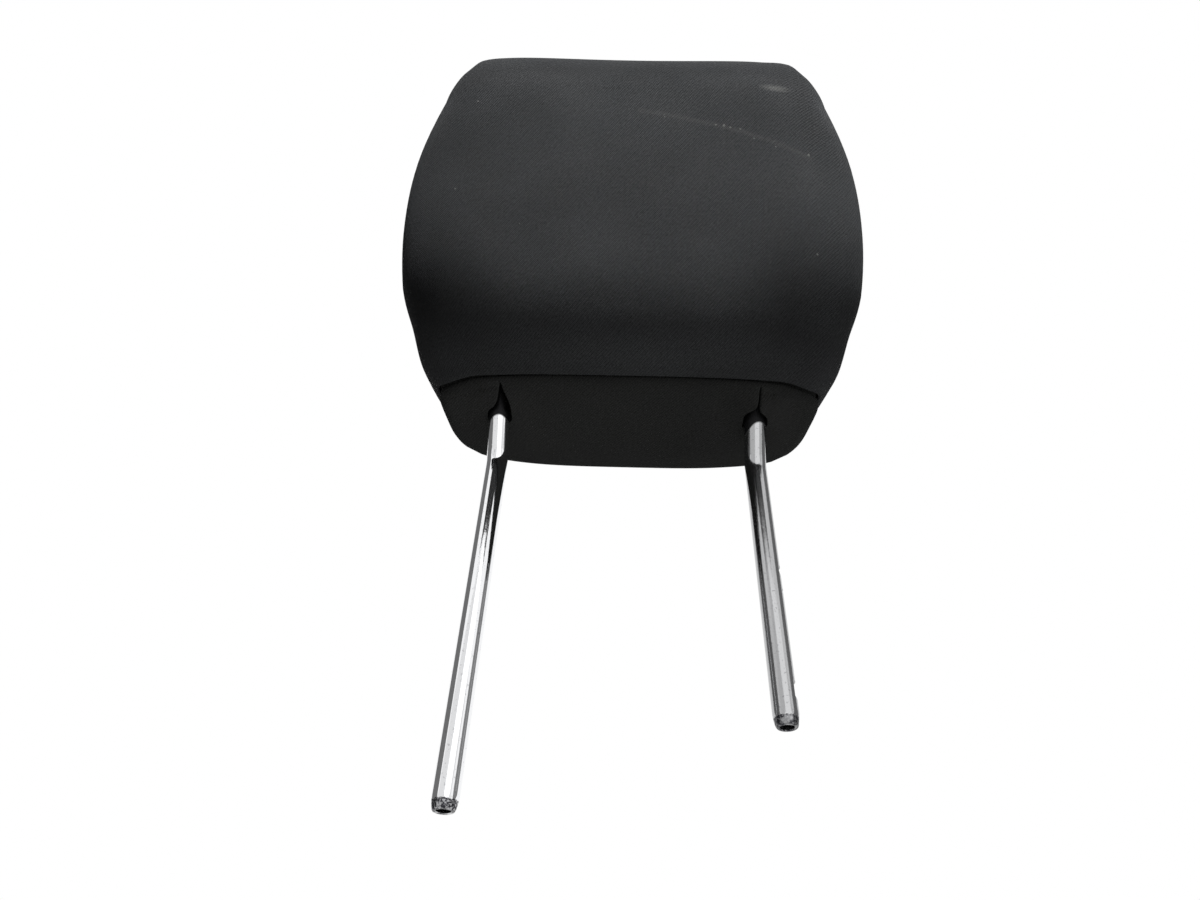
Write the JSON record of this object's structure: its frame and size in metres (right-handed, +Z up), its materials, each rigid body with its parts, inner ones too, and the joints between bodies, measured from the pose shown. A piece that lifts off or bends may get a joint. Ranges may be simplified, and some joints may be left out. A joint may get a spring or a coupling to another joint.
{
  "type": "head restraint",
  "caption": "Padded fabric head restraint that swivels on the cross tube of two bent, chromed posts of unequal length, with height notches cut in the shorter post.",
  "frame": {"origin": "midway between the two straight lower posts, level with the lower end of the longer post", "axes": "+Z up along the straight lower posts, -Y the way the padded face looks, +X to the side of the shorter, notched post"},
  "size_m": [0.266, 0.1796, 0.4079],
  "materials": {
    "chrome_tube": "polished",
    "steel": "satin",
    "face_fabric": "matte",
    "panel_fabric": "matte",
    "foam": "matte",
    "carrier_plastic": "matte",
    "bush_plastic": "satin",
    "strip_plastic": "satin"
  },
  "bodies": {
    "post_frame": {"left_post": "chrome_tube", "right_post": "chrome_tube", "cross_tube": "steel", "tilt_stop_tab": "steel"},
    "pad": {"main_cover": "face_fabric", "bottom_cover": "panel_fabric", "front_foam": "foam", "rear_foam": "foam", "front_carrier": "carrier_plastic", "rear_carrier": "carrier_plastic", "left_swivel_bush": "bush_plastic", "right_swivel_bush": "bush_plastic", "left_friction_clip": "steel", "right_friction_clip": "steel", "left_clip_screw": "steel", "right_clip_screw": "steel", "carrier_screw_1": "steel", "carrier_screw_2": "steel", "carrier_screw_3": "steel", "carrier_screw_4": "steel", "cover_hook_strip": "strip_plastic", "panel_catch_strip": "strip_plastic"}
  },
  "joints": [
    {"name": "pad_tilt", "type": "hinge", "parent": "post_frame", "child": "pad", "pos_m": [0, -0.05408, 0.2813], "axis": [1, 0, 0], "range_deg": [0, 12]}
  ]
}
